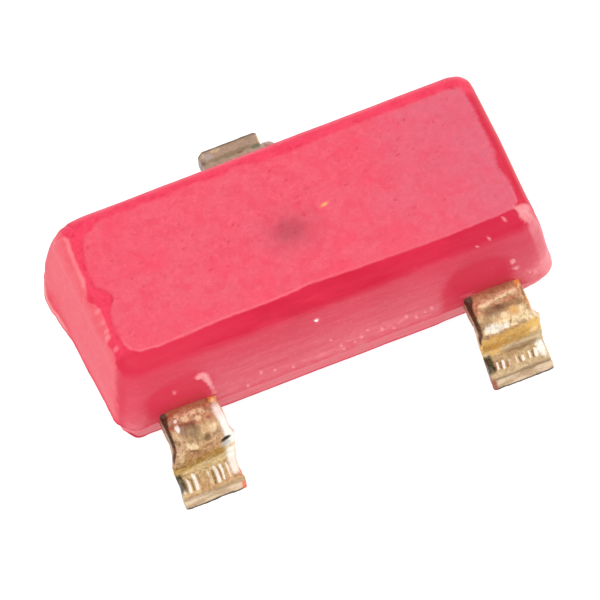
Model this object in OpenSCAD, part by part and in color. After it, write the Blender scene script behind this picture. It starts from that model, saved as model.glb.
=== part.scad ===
// Surface-mount light-emitting diode in a three-lead small-outline body.
// Millimetres. Z is up, and z = 0 is the plane that the three solder feet stand on.
// X runs along the body. Two leads leave the front (-Y) and one leaves the back (+Y).
// The origin lies on that plane, midway between the front and the back lead tips.

/* [Body] */
// Length of the moulded body along X at the parting line
body_l = 2.9; // [2.8:0.1:3]
// Width of the moulded body along Y at the parting line
body_w = 1.32; // [1.24:0.08:1.4]
// Height of the top face above the solder plane
body_top = 0.89; // [0.86:0.03:0.92]
// Gap between the solder plane and the underside
standoff = 0.09; // [0.06:0.03:0.12]
// Height of the mould parting line
parting_z = 0.31; // [0.29:0.02:0.33]
// Inset of the top face on each side, from the mould draft
draft_top = 0.07; // [0.05:0.02:0.09]
// Inset of the underside on each side, from the mould draft
draft_bottom = 0.055; // [0.045:0.01:0.065]
// Radius of the four upright corners at the parting line
corner_r = 0.14; // [0.13:0.01:0.15]
// Radius of the edges round the top face
edge_r = 0.115; // [0.095:0.01:0.115]
// Width of the small bevel round the underside
under_r = 0.04; // [0.03:0.01:0.05]
// How far the flash at the parting line stands out
flash_w = 0.012; // [0.006:0.006:0.018]
// Thickness of the flash
flash_t = 0.014; // [0.01:0.004:0.018]

/* [Leads] */
// Width of each lead
lead_w = 0.39; // [0.36:0.03:0.42]
// Thickness of the lead frame
lead_t = 0.125; // [0.12:0.005:0.13]
// Distance between the centres of the two front leads
lead_pitch = 2.04; // [2:0.04:2.08]
// Distance from the origin to each lead tip
lead_reach = 1.115; // [1.1:0.015:1.13]
// Outer radius of the upper bend
shoulder_r = 0.13; // [0.125:0.005:0.135]
// Concave radius at the heel
heel_r = 0.05; // [0.04:0.01:0.06]
// Lean of each lead's leg away from upright, in degrees
leg_lean = 12; // [8:4:16]
// Length of the flat foot
foot_l = 0.15; // [0.13:0.02:0.17]

/* [Lead frame inside] */
// Half length of the die paddle along X
paddle_x = 0.36; // [0.32:0.04:0.4]
// Depth of the paddle on each side of the body's middle
paddle_y = 0.32; // [0.3:0.02:0.34]
// Inner end of the two front leads, as a distance from the body's middle
post_inner_x = 0.56; // [0.54:0.02:0.58]
// Depth that the front leads reach into the body
post_depth = 0.48; // [0.44:0.04:0.52]
// Depth of the bond post at the end of each front lead
post_w = 0.22; // [0.2:0.02:0.24]

/* [Die and wire] */
// Place of the die along X
die_x = -0.02; // [-0.04:0.02:0]
// Place of the die along Y
die_y = 0.04; // [0.02:0.02:0.06]
// Side of the square die
die_s = 0.26; // [0.22:0.04:0.3]
// Height of the die
die_h = 0.18; // [0.16:0.02:0.2]
// Side of the adhesive layer under the die
attach_s = 0.34; // [0.33:0.01:0.35]
// Thickness of the adhesive layer
attach_t = 0.015; // [0.01:0.005:0.02]
// Diameter of the contact on top of the die
contact_d = 0.12; // [0.1:0.02:0.14]
// Thickness of the contact
contact_t = 0.008; // [0.006:0.002:0.01]
// Radius of the bond wire
wire_r = 0.0125; // [0.01:0.0025:0.015]
// Radius of the ball at the wire's first end
ball_r = 0.036; // [0.034:0.002:0.038]
// Height of the straight neck above the ball
neck_h = 0.04; // [0.03:0.01:0.05]
// Radius of the loop above the die
loop_r = 0.07; // [0.06:0.01:0.08]
// Radius of the bend where the wire meets the post
landing_r = 0.1; // [0.08:0.02:0.12]

/* [Hidden] */

$fn = 64;

hx = body_l / 2;
hy = body_w / 2;
draft_lean = atan2(draft_top, body_top - parting_z);
lead_bottom = parting_z - lead_t / 2;
lead_top = parting_z + lead_t / 2;

// die stack, from the paddle up
attach_z = lead_top;
die_z = attach_z + attach_t;
contact_z = die_z + die_h;
ball_z = contact_z + contact_t;
ball_top = ball_z + 1.3 * ball_r;

// wire: from the die's middle to the post of the front right lead
wire_x0 = die_x;
wire_y0 = die_y;
post_y0 = post_depth - hy;
wire_x1 = post_inner_x + 0.16;
wire_y1 = post_y0 - post_w / 2;
wire_run = sqrt(pow(wire_x1 - wire_x0, 2) + pow(wire_y1 - wire_y0, 2));
wire_heading = atan2(wire_y1 - wire_y0, wire_x1 - wire_x0);
stitch_l = 0.03;
land_z = lead_top + wire_r;
arc_z = ball_top + neck_h;
land_s = wire_run - stitch_l;
a_run = land_s - loop_r;
a_rise = arc_z - land_z - landing_r;
slope = atan2(a_rise, a_run) + asin((loop_r + landing_r) / sqrt(a_run * a_run + a_rise * a_rise));
down_s = loop_r * (1 + sin(slope));
down_z = arc_z + loop_r * cos(slope);
touch_s = land_s - landing_r * sin(slope);
touch_z = land_z + landing_r * (1 - cos(slope));
down_l = sqrt(pow(touch_s - down_s, 2) + pow(touch_z - down_z, 2));

// ---- shared shapes ----

// section of the moulded body across one axis, half width h at the parting line
module drafted_section(h) {
    cz = body_top - edge_r;
    cx = h - (edge_r + sin(draft_lean) * (cz - parting_z)) / cos(draft_lean);
    tx = cx + edge_r * cos(draft_lean);
    tz = cz + edge_r * sin(draft_lean);
    bx = h - draft_bottom;
    polygon([
        [-bx + under_r, standoff], [bx - under_r, standoff], [bx, standoff + under_r],
        [h, parting_z], [tx, tz], [cx, cz], [cx, body_top],
        [-cx, body_top], [-cx, cz], [-tx, tz], [-h, parting_z], [-bx, standoff + under_r]
    ]);
    for (s = [-1, 1]) translate([s * cx, cz]) circle(r = edge_r);
}

// everything on the outer side of a wall that leans in with the draft, seen along that wall
module outside_wall(c) {
    h = 1.2;
    polygon([[c + 0.4, parting_z], [c, parting_z], [c - draft_top * h / (body_top - parting_z), parting_z + h],
             [c + 0.4, parting_z + h]]);
}

// what is cut away outside the +X +Y upright corner of the moulded body, above the parting line
module upper_corner_waste() {
    over = 0.005;
    c = [hx - corner_r / cos(draft_lean), hy - corner_r / cos(draft_lean)];
    tilt = atan2(draft_top * sqrt(2), body_top - parting_z);
    // leaning corner of constant radius
    difference() {
        intersection() {
            rotate([90, 0, 0]) translate([0, 0, -hy - 0.4]) linear_extrude(0.8 + hy) outside_wall(c[0]);
            rotate([90, 0, 90]) translate([0, 0, hx - 0.6]) linear_extrude(1) outside_wall(c[1]);
        }
        translate([c[0], c[1], parting_z]) rotate([0, 0, 45]) rotate([0, -tilt, 0])
            translate([0, 0, -0.1]) cylinder(h = 2, r = corner_r + over);
    }
    // rounding that carries the top edge round the corner
    z0 = body_top - edge_r;
    in = draft_top * (z0 - parting_z) / (body_top - parting_z);
    translate([c[0] - in, c[1] - in, z0]) difference() {
        cube([0.4, 0.4, 0.4]);
        rotate_extrude() {
            square([corner_r + over - edge_r, edge_r]);
            translate([0, -0.1]) square([corner_r + over, 0.1]);
            intersection() {
                translate([corner_r + over - edge_r, 0]) circle(r = edge_r);
                translate([corner_r + over - edge_r, -0.02]) square([1, 1]);
            }
        }
    }
}

// the same below the parting line
module lower_corner_waste() {
    over = 0.005;
    r = corner_r + over;
    translate([hx - corner_r, hy - corner_r, 0]) difference() {
        cube([0.4, 0.4, parting_z]);
        cylinder(h = parting_z, r1 = r - draft_bottom * parting_z / (parting_z - standoff), r2 = r);
    }
}

// thin skin of flash squeezed out along the parting line
module flash_rim() {
    r = corner_r + flash_w;
    translate([0, 0, parting_z - flash_t / 2]) {
        translate([-hx - flash_w, -hy - flash_w + r, 0]) cube([2 * (hx + flash_w), 2 * (hy + flash_w - r), flash_t]);
        translate([-hx - flash_w + r, -hy - flash_w, 0]) cube([2 * (hx + flash_w - r), 2 * (hy + flash_w), flash_t]);
        for (sx = [-1, 1]) for (sy = [-1, 1])
            translate([sx * (hx + flash_w - r), sy * (hy + flash_w - r), 0]) cylinder(h = flash_t, r = r);
    }
}

// the whole moulding, before the pieces it is cast round are taken out of it
module moulding() {
    union() {
        difference() {
            intersection() {
                rotate([90, 0, 0]) translate([0, 0, -hy - 0.1]) linear_extrude(2 * hy + 0.2) drafted_section(hx);
                rotate([90, 0, 90]) translate([0, 0, -hx - 0.1]) linear_extrude(2 * hx + 0.2) drafted_section(hy);
            }
            for (mx = [0, 1]) for (my = [0, 1]) mirror([mx, 0, 0]) mirror([0, my, 0]) {
                upper_corner_waste();
                lower_corner_waste();
            }
        }
        flash_rim();
    }
}

// quarter of a ring or less, from angle a0 to a1
module ring_piece(ri, ro, a0, a1) {
    m = (a0 + a1) / 2;
    R = 2 * ro;
    intersection() {
        difference() {
            circle(r = ro);
            circle(r = ri);
        }
        polygon([[0, 0], [R * cos(a0), R * sin(a0)], [R * cos(m), R * sin(m)], [R * cos(a1), R * sin(a1)]]);
    }
}

// side view of a lead outside the body: x is the distance out from the origin, y is the height
module gull_wing(inner) {
    turn = 90 - leg_lean;
    foot_start = lead_reach - foot_l;
    // concave bend at the heel
    heel_out = heel_r + lead_t;
    heel_top = [foot_start - heel_r * sin(turn), lead_t + heel_r * (1 - cos(turn))];
    // upper bend, reached by the straight leg
    drop = lead_top - shoulder_r * (1 - cos(turn)) - heel_top[1];
    leg_l = drop / cos(leg_lean);
    sh_end = [heel_top[0] - leg_l * sin(leg_lean), heel_top[1] + drop];
    sh_c = [sh_end[0] - shoulder_r * sin(turn), lead_top - shoulder_r];
    // plateau
    polygon([[inner, lead_bottom], [sh_c[0], lead_bottom], [sh_c[0], lead_top], [inner, lead_top]]);
    translate(sh_c) ring_piece(shoulder_r - lead_t, shoulder_r, leg_lean, 90);
    // leg
    polygon([
        sh_end, heel_top,
        [heel_top[0] - lead_t * sin(turn), heel_top[1] - lead_t * cos(turn)],
        [sh_end[0] - lead_t * sin(turn), sh_end[1] - lead_t * cos(turn)]
    ]);
    translate([foot_start, lead_t + heel_r]) ring_piece(heel_r, heel_out, 180 + leg_lean, 270);
    // foot
    polygon([[foot_start, 0], [lead_reach, 0], [lead_reach, lead_t], [foot_start, lead_t]]);
}

// one front lead with its locking bar and bond post inside, on the +X side
module front_lead() {
    cx = lead_pitch / 2;
    front = -hy;
    translate([cx - lead_w / 2, 0, 0]) rotate([90, 0, 90]) linear_extrude(lead_w) mirror([1, 0]) gull_wing(-front - 0.02);
    translate([0, 0, lead_bottom]) linear_extrude(lead_t) polygon([
        [cx - lead_w / 2, front - 0.01], [cx + lead_w / 2, front - 0.01],
        [cx + lead_w / 2, post_y0], [post_inner_x, post_y0],
        [post_inner_x, post_y0 - post_w], [cx - lead_w / 2, post_y0 - post_w]
    ]);
}

// ---- sub-parts ----

module epoxy_body() {
    color([0.93, 0.3, 0.38]) difference() {
        moulding();
        cathode_lead();
        anode_lead();
        blank_lead();
        led_die();
        die_attach();
        top_contact();
        bond_wire();
    }
}

module cathode_lead() {
    back = hy;
    color([0.76, 0.6, 0.43]) {
        translate([-lead_w / 2, 0, 0]) rotate([90, 0, 90]) linear_extrude(lead_w) gull_wing(back - 0.02);
        translate([0, 0, lead_bottom]) linear_extrude(lead_t) polygon([
            [-paddle_x, -paddle_y], [paddle_x, -paddle_y],
            [paddle_x, paddle_y], [lead_w / 2, paddle_y],
            [lead_w / 2, back + 0.01], [-lead_w / 2, back + 0.01],
            [-lead_w / 2, paddle_y], [-paddle_x, paddle_y]
        ]);
    }
}

module anode_lead() {
    color([0.76, 0.6, 0.43]) front_lead();
}

module blank_lead() {
    color([0.76, 0.6, 0.43]) mirror([1, 0, 0]) front_lead();
}

module led_die() {
    color([0.5, 0.16, 0.14]) translate([wire_x0 - die_s / 2, wire_y0 - die_s / 2, die_z]) cube([die_s, die_s, die_h]);
}

module die_attach() {
    color([0.62, 0.62, 0.6]) translate([wire_x0 - attach_s / 2, wire_y0 - attach_s / 2, attach_z])
        cube([attach_s, attach_s, attach_t]);
}

module top_contact() {
    color([0.85, 0.66, 0.3]) translate([wire_x0, wire_y0, contact_z]) cylinder(h = contact_t, r = contact_d / 2);
}

// ball, neck, loop, straight fall, landing bend and flattened stitch, in one plane through both ends
module bond_wire() {
    $fn = 36;
    joint_r = 1.06 * wire_r;
    back_off = 0.15 * wire_r;
    color([0.86, 0.64, 0.25]) translate([wire_x0, wire_y0, 0]) rotate([0, 0, wire_heading]) {
        // ball, squashed flat where it meets the contact
        translate([0, 0, ball_z]) intersection() {
            translate([0, 0, 0.55 * ball_r]) sphere(r = ball_r);
            translate([-1, -1, 0]) cube([2, 2, 1]);
        }
        // neck
        translate([0, 0, ball_z + ball_r]) cylinder(h = arc_z - ball_z - ball_r - back_off, r = wire_r);
        translate([0, 0, arc_z]) sphere(r = joint_r);
        // loop
        translate([loop_r, 0, arc_z]) rotate([90, 0, 0]) rotate([0, 0, 90 - slope])
            rotate_extrude(angle = 90 + slope) translate([loop_r, 0]) circle(r = wire_r);
        translate([down_s, 0, down_z]) sphere(r = joint_r);
        // straight fall
        translate([down_s, 0, down_z]) rotate([0, 90 + slope, 0]) translate([0, 0, back_off])
            cylinder(h = down_l - 2 * back_off, r = wire_r);
        translate([touch_s, 0, touch_z]) sphere(r = joint_r);
        // landing bend
        translate([land_s, 0, land_z + landing_r]) rotate([90, 0, 0]) rotate([0, 0, 270 - slope])
            rotate_extrude(angle = slope) translate([landing_r, 0]) circle(r = wire_r);
        // flattened stitch on the post
        translate([land_s + 1.2 * wire_r, 0, lead_top]) cylinder(h = 1.5 * wire_r, r = 2.2 * wire_r);
    }
}

epoxy_body();
cathode_lead();
anode_lead();
blank_lead();
led_die();
die_attach();
top_contact();
bond_wire();
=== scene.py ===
"""Looks of the surface-mount light-emitting diode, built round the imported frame."""
import math

import bpy
import numpy as np
from mathutils import Matrix, Vector


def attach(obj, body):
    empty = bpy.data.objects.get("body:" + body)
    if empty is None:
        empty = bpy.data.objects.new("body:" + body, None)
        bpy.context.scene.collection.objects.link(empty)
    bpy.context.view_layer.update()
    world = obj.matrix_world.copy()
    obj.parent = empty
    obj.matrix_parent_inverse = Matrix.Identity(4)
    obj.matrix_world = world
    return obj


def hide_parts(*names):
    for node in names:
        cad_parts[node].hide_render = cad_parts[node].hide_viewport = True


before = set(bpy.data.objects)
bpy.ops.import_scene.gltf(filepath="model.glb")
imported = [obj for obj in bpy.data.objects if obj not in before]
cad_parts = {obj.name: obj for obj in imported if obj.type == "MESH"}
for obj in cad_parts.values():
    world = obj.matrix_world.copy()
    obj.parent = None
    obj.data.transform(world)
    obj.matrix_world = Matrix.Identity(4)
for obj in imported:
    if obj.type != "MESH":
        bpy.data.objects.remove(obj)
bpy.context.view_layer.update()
MM = 0.001

# ---------------------------------------------------------------- sizes, in millimetres, as in the frame
HX, HY = 1.45, 0.66             # half body at the parting line
ZT, ZB, ZP = 0.89, 0.09, 0.31   # top face, underside, parting line
DT, DB = 0.07, 0.055            # draft inset, above and below
RC, RE, RU = 0.14, 0.122, 0.04  # upright corner, top edge, underside edge
LW, LT = 0.39, 0.125            # lead width and thickness
PITCH = 2.04                    # between the front leads
REACH = 1.115                   # lead tips
SHOULDER, HEEL, LEAN, FOOT = 0.13, 0.05, math.radians(12), 0.15
PADDLE_X, PADDLE_Y = 0.36, 0.32
POST_X, POST_IN, POST_OUT = 0.56, 0.18, 0.40


# ---------------------------------------------------------------- helpers for the meshes
class Noise:
    """Gradient noise with its own fixed table, so every run gives the same surface."""

    def __init__(self, seed):
        rng = np.random.RandomState(seed)
        self.perm = np.tile(rng.permutation(256), 3)
        g = rng.normal(size=(256, 3))
        self.grad = g / np.linalg.norm(g, axis=1)[:, None]

    def __call__(self, p, scale=1.0, offset=0.0):
        p = np.asarray(p, float) * scale + offset
        i = np.floor(p).astype(int)
        f = p - i
        i &= 255
        w = f * f * f * (f * (f * 6 - 15) + 10)
        out = np.zeros(len(p))
        for dx in (0, 1):
            for dy in (0, 1):
                for dz in (0, 1):
                    h = self.perm[self.perm[self.perm[i[:, 0] + dx] + i[:, 1] + dy] + i[:, 2] + dz]
                    d = f - np.array([dx, dy, dz])
                    c = (w[:, 0] if dx else 1 - w[:, 0]) * (w[:, 1] if dy else 1 - w[:, 1]) * (w[:, 2] if dz else 1 - w[:, 2])
                    out += c * (self.grad[h] * d).sum(1)
        return out * 1.6

    def fbm(self, p, scale, octaves=3, gain=0.5):
        out, a = 0, 1.0
        for k in range(octaves):
            out = out + a * self(p, scale * 2 ** k, 17.3 * k)
            a *= gain
        return out


def smooth(x, a, b):
    """0 at a, 1 at b, smooth between; a may be above b."""
    t = np.clip((np.asarray(x, float) - a) / (b - a), 0, 1)
    return t * t * (3 - 2 * t)


def through(x, points):
    """Value at x on the line through the points."""
    pts = np.array(sorted(points))
    return np.interp(x, pts[:, 0], pts[:, 1])


def rounded(X, Y, a0, b0, ra, rb, a, b, r):
    """Carries grid points of the rectangle a0 x b0, with corner cells ra x rb, onto the rectangle a x b with rounded corners r."""
    u = np.clip((np.abs(X) - (a0 - ra)) / ra, 0, 1)
    v = np.clip((np.abs(Y) - (b0 - rb)) / rb, 0, 1)
    x = np.minimum(np.abs(X), a0 - ra) / (a0 - ra) * (a - r) + r * u * np.sqrt(1 - v * v / 2)
    y = np.minimum(np.abs(Y), b0 - rb) / (b0 - rb) * (b - r) + r * v * np.sqrt(1 - u * u / 2)
    return np.sign(X) * x, np.sign(Y) * y


def inside_round_rect(x, y, a, b, r):
    """Distance to the edge of a rounded rectangle, positive inside."""
    qx, qy = np.abs(x) - a + r, np.abs(y) - b + r
    return r - np.hypot(np.maximum(qx, 0), np.maximum(qy, 0)) - np.minimum(np.maximum(qx, qy), 0)


def to_segments(x, z, pts):
    """Distance to a chain of segments, and how far along the chain, from 0 to 1."""
    best, along = np.full(len(x), 9.0), np.zeros(len(x))
    n = len(pts) - 1
    for k, ((x0, z0), (x1, z1)) in enumerate(zip(pts[:-1], pts[1:])):
        dx, dz = x1 - x0, z1 - z0
        t = np.clip(((x - x0) * dx + (z - z0) * dz) / (dx * dx + dz * dz), 0, 1)
        d = np.hypot(x - x0 - t * dx, z - z0 - t * dz)
        along = np.where(d < best, (k + t) / n, along)
        best = np.minimum(best, d)
    return best, along


def grid_lines(half, corner, mid, n_corner):
    """Grid lines from -half to half: n_corner cells in each corner zone, and the given lines between."""
    c = np.linspace(half - corner, half, n_corner + 1)[1:]
    return np.concatenate([-c[::-1], mid, c])


class Shell:
    """A closed box-like mesh: a grid at each end and rings between them."""

    def __init__(self, gx, gy):
        self.GX, self.GY = (g.ravel() for g in np.meshgrid(gx, gy, indexing="ij"))
        self.index = np.arange(len(gx) * len(gy)).reshape(len(gx), len(gy))
        i = self.index
        self.loop = np.concatenate([i[:-1, 0], i[-1, :-1], i[:0:-1, -1], i[0, :0:-1]])

    def build(self, sections):
        """sections: functions of (X, Y) that give an array of points, from the first end to the last."""
        verts, rims, count = [], [], 0
        for k, section in enumerate(sections):
            full = k in (0, len(sections) - 1)
            X, Y = (self.GX, self.GY) if full else (self.GX[self.loop], self.GY[self.loop])
            verts.append(section(X, Y))
            rims.append(count + (self.loop if full else np.arange(len(self.loop))))
            if full and k:
                last = count
            count += len(X)
        i = self.index
        face = np.stack([i[:-1, :-1], i[1:, :-1], i[1:, 1:], i[:-1, 1:]], -1).reshape(-1, 4)
        quads = [face, last + face[:, ::-1]]
        for a, b in zip(rims[:-1], rims[1:]):
            quads.append(np.stack([a, b, np.roll(b, -1), np.roll(a, -1)], -1))
        v, q = np.vstack(verts), np.vstack(quads)
        n = vertex_normals(v, q)
        if ((v[:, :3] - v[:, :3].mean(0)) * n).sum() < 0:
            q, n = q[:, ::-1], -n
        return v, q, n


def vertex_normals(v, quads):
    a, b, c, d = (v[quads[:, k], :3] for k in range(4))
    n = np.cross(c - a, d - b)
    out = np.zeros((len(v), 3))
    for k in range(4):
        np.add.at(out, quads[:, k], n)
    return out / np.maximum(np.linalg.norm(out, axis=1), 1e-12)[:, None]


def make_object(name, v_mm, quads, attributes, material):
    mesh = bpy.data.meshes.new(name)
    mesh.vertices.add(len(v_mm))
    mesh.vertices.foreach_set("co", (v_mm * MM).astype(np.float32).ravel())
    mesh.loops.add(quads.size)
    mesh.loops.foreach_set("vertex_index", np.ascontiguousarray(quads).astype(np.int32).ravel())
    mesh.polygons.add(len(quads))
    mesh.polygons.foreach_set("loop_start", np.arange(0, quads.size, 4, dtype=np.int32))
    mesh.update(calc_edges=True)
    mesh.shade_smooth()
    for key, values in attributes.items():
        layer = mesh.attributes.new(key, "FLOAT", "POINT")
        layer.data.foreach_set("value", np.asarray(values, np.float32))
    mesh.materials.append(material)
    obj = bpy.data.objects.new(name, mesh)
    bpy.context.scene.collection.objects.link(obj)
    return obj


# ---------------------------------------------------------------- helpers for the materials
class Nodes:
    def __init__(self, name):
        self.mat = bpy.data.materials.new(name)
        self.mat.use_nodes = True
        self.tree = self.mat.node_tree
        self.tree.nodes.clear()
        self.out = self.tree.nodes.new("ShaderNodeOutputMaterial")
        coords = self.tree.nodes.new("ShaderNodeTexCoord")
        scale = self.tree.nodes.new("ShaderNodeVectorMath")
        scale.operation = "SCALE"
        scale.inputs["Scale"].default_value = 1000.0
        self.link(coords.outputs["Object"], scale.inputs[0])
        self.p = scale.outputs[0]          # place on the object, in millimetres
        split = self.tree.nodes.new("ShaderNodeSeparateXYZ")
        self.link(self.p, split.inputs[0])
        self.x, self.y, self.z = split.outputs

    def link(self, a, b):
        self.tree.links.new(a, b)

    def put(self, socket, value):
        if isinstance(value, bpy.types.NodeSocket):
            self.link(value, socket)
        else:
            socket.default_value = value

    def math(self, op, a, b=0.0):
        n = self.tree.nodes.new("ShaderNodeMath")
        n.operation = op
        self.put(n.inputs[0], a)
        self.put(n.inputs[1], b)
        return n.outputs[0]

    def add(self, a, b):
        return self.math("ADD", a, b)

    def sub(self, a, b):
        return self.math("SUBTRACT", a, b)

    def mul(self, a, *others):
        for b in others:
            a = self.math("MULTIPLY", a, b)
        return a

    def most(self, *values):
        a = values[0]
        for b in values[1:]:
            a = self.math("MAXIMUM", a, b)
        return a

    def least(self, a, b):
        return self.math("MINIMUM", a, b)

    def ramp(self, value, a, b, lo=0.0, hi=1.0):
        n = self.tree.nodes.new("ShaderNodeMapRange")
        n.interpolation_type = "SMOOTHSTEP"
        n.clamp = True
        if a > b:
            a, b, lo, hi = b, a, hi, lo
        self.put(n.inputs["Value"], value)
        n.inputs["From Min"].default_value = a
        n.inputs["From Max"].default_value = b
        n.inputs["To Min"].default_value = lo
        n.inputs["To Max"].default_value = hi
        return n.outputs[0]

    def attr(self, name):
        n = self.tree.nodes.new("ShaderNodeAttribute")
        n.attribute_name = name
        return n.outputs["Fac"]

    def stretch(self, sx, sy, sz):
        n = self.tree.nodes.new("ShaderNodeVectorMath")
        n.operation = "MULTIPLY"
        self.link(self.p, n.inputs[0])
        n.inputs[1].default_value = (sx, sy, sz)
        return n.outputs[0]

    def vector(self, x, y, z=0.0):
        n = self.tree.nodes.new("ShaderNodeCombineXYZ")
        for socket, value in zip(n.inputs, (x, y, z)):
            self.put(socket, value)
        return n.outputs[0]

    def noise(self, scale, detail=3.0, rough=0.5, distort=0.0, vector=None, shift=(0.0, 0.0, 0.0)):
        v = self.tree.nodes.new("ShaderNodeVectorMath")
        v.operation = "ADD"
        self.link(vector or self.p, v.inputs[0])
        v.inputs[1].default_value = shift
        n = self.tree.nodes.new("ShaderNodeTexNoise")
        self.link(v.outputs[0], n.inputs["Vector"])
        n.inputs["Scale"].default_value = scale
        n.inputs["Detail"].default_value = detail
        n.inputs["Roughness"].default_value = rough
        n.inputs["Distortion"].default_value = distort
        return n.outputs["Fac"]

    def spots(self, scale, vector=None):
        n = self.tree.nodes.new("ShaderNodeTexVoronoi")
        self.link(vector or self.p, n.inputs["Vector"])
        n.inputs["Scale"].default_value = scale
        return n.outputs["Distance"]

    def patch(self, u, v, cu, cv, ru, rv, lean=0.0):
        """1 inside an ellipse, falling softly to 0 outside; lean shifts it along v as u grows."""
        a, b = self.sub(u, cu), self.sub(v, cv)
        if lean:
            b = self.sub(b, self.mul(a, lean))
        a, b = self.mul(a, 1 / ru), self.mul(b, 1 / rv)
        return self.ramp(self.add(self.mul(a, a), self.mul(b, b)), 1.75, 0.25)

    def mix(self, f, a, b):
        n = self.tree.nodes.new("ShaderNodeMix")
        n.data_type = "RGBA"
        n.clamp_factor = True
        self.put(n.inputs[0], f)
        for k, v in ((6, a), (7, b)):
            self.put(n.inputs[k], v if isinstance(v, bpy.types.NodeSocket) else (*v, 1.0))
        return n.outputs[2]

    def bump(self, height, strength, distance):
        n = self.tree.nodes.new("ShaderNodeBump")
        n.inputs["Strength"].default_value = strength
        n.inputs["Distance"].default_value = distance
        self.link(height, n.inputs["Height"])
        return n.outputs["Normal"]

    def principled(self, **values):
        n = self.tree.nodes.new("ShaderNodeBsdfPrincipled")
        for key, value in values.items():
            self.put(n.inputs[key.replace("_", " ")], value)
        self.link(n.outputs[0], self.out.inputs["Surface"])


def srgb(*rgb):
    """8-bit display colour to a linear one."""
    return tuple(c / 255 / 12.92 if c <= 10 else ((c / 255 + 0.055) / 1.055) ** 2.4 for c in rgb)


# ---------------------------------------------------------------- moulded body
# Edge of the frosted field on the top face, side by side: (along, across)
FIELD_FRONT = [(-1.28, -0.435), (-1.22, -0.478), (-1.10, -0.495), (-0.70, -0.477), (-0.30, -0.481), (-0.10, -0.465), (0.23, -0.480), (0.80, -0.494), (1.16, -0.484), (1.28, -0.472)]
FIELD_BACK = [(-1.24, 0.395), (-1.20, 0.425), (-1.15, 0.436), (-1.09, 0.487), (-1.01, 0.481), (-0.90, 0.471), (-0.80, 0.479), (-0.60, 0.482), (-0.43, 0.490),
              (-0.36, 0.477), (-0.30, 0.465), (-0.23, 0.480), (-0.19, 0.499), (-0.09, 0.477), (-0.03, 0.460), (0.24, 0.458), (0.60, 0.477), (0.90, 0.468), (1.20, 0.473), (1.30, 0.450)]
FIELD_LEFT = [(0.42, -1.212), (0.36, -1.240), (0.30, -1.260), (0.23, -1.277), (0.15, -1.283), (0.09, -1.289), (0.055, -1.283), (0.037, -1.258), (0.003, -1.233),
              (-0.036, -1.217), (-0.067, -1.217), (-0.10, -1.244), (-0.145, -1.270), (-0.21, -1.286), (-0.40, -1.286), (-0.45, -1.266)]
FIELD_RIGHT = [(0.45, 1.300), (0.33, 1.309), (0.21, 1.311), (0.08, 1.307), (-0.025, 1.310), (-0.10, 1.297), (-0.17, 1.285), (-0.23, 1.299), (-0.29, 1.308), (-0.37, 1.307), (-0.43, 1.301), (-0.47, 1.264)]
# Top edge of the frost on the left end, and its side edge at the front left corner: (height, y)
END_EDGE = [(0.52, -1.320), (0.43, -1.303), (0.36, -1.313), (0.21, -1.323), (0.14, -1.323), (0.07, -1.338), (0.032, -1.362), (-0.004, -1.362), (-0.049, -1.335),
            (-0.086, -1.317), (-0.16, -1.323), (-0.25, -1.328), (-0.30, -1.338), (-0.318, -1.368), (-0.38, -1.362), (-0.43, -1.355)]
END_SIDE = [(0.89, -0.405), (0.86, -0.415), (0.82, -0.500), (0.65, -0.533), (0.47, -0.561), (0.32, -0.575)]
# Grains and beads on the front face: x, z, radius
SPECKS_FRONT = [(-0.120, 0.717, 0.017), (-1.075, 0.541, 0.014), (-0.609, 0.351, 0.013), (-0.517, 0.418, 0.014),
                (0.457, 0.424, 0.013), (0.52, 0.39, 0.011), (0.57, 0.40, 0.009), (0.621, 0.408, 0.012), (1.037, 0.844, 0.011),
                (0.958, 0.823, 0.008), (1.170, 0.885, 0.013), (-0.049, 0.47, 0.009), (0.039, 0.346, 0.012), (0.02, 0.38, 0.009),
                (0.148, 0.40, 0.013), (0.10, 0.37, 0.009), (0.283, 0.39, 0.010), (0.19, 0.43, 0.008), (1.30, 0.38, 0.015),
                (1.35, 0.43, 0.011), (1.27, 0.40, 0.009), (-0.30, 0.36, 0.008), (-0.42, 0.40, 0.009), (0.36, 0.36, 0.008)]
CRUMBS_LEFT = [(-1.338, -0.101, 0.021), (-1.340, -0.185, 0.017), (-1.342, -0.252, 0.018), (-1.350, -0.292, 0.021), (-1.340, -0.387, 0.021)]
PITS_TOP = [(-0.69, 0.085), (-0.60, -0.12), (-1.06, 0.02), (-1.02, -0.06), (0.07, 0.28), (0.39, 0.10), (0.07, 0.007),
            (-0.03, -0.088), (-0.09, -0.007), (0.76, 0.165), (0.62, -0.125), (0.89, 0.38), (-0.35, 0.12), (-0.42, 0.02)]


def body_profile():
    """Rings from the top edge down: inset from the parting line, height, corner radius, share of the flash."""
    lean = math.atan2(DT, ZT - ZP)
    zc = ZT - RE
    dc = (RE + math.sin(lean) * (zc - ZP)) / math.cos(lean)
    rows = []
    for f in np.linspace(math.pi / 2, lean, 15):
        inset, z = dc - RE * math.cos(f), zc + RE * math.sin(f)
        drafted = DT * (z - ZP) / (ZT - ZP)
        rows.append((inset, z, RC - (inset - drafted) * 0.80, 0))
    for z in np.linspace(rows[-1][1], ZP + 0.009, 37)[1:]:
        rows.append((DT * (z - ZP) / (ZT - ZP), z, RC, 0))
    rows += [(0.0, ZP + 0.005, RC, 0.6), (0.0, ZP, RC, 1), (0.0, ZP - 0.005, RC, 0.6)]
    knee = ZB + RU
    for z in np.linspace(ZP - 0.010, knee, 11):
        rows.append((DB * (ZP - z) / (ZP - knee), z, RC, 0))
    for f in (30, 60, 90):
        a = math.radians(f)
        rows.append((DB + RU * (1 - math.cos(a)), knee - RU * math.sin(a), RC - 0.02, 0))
    return rows


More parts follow.
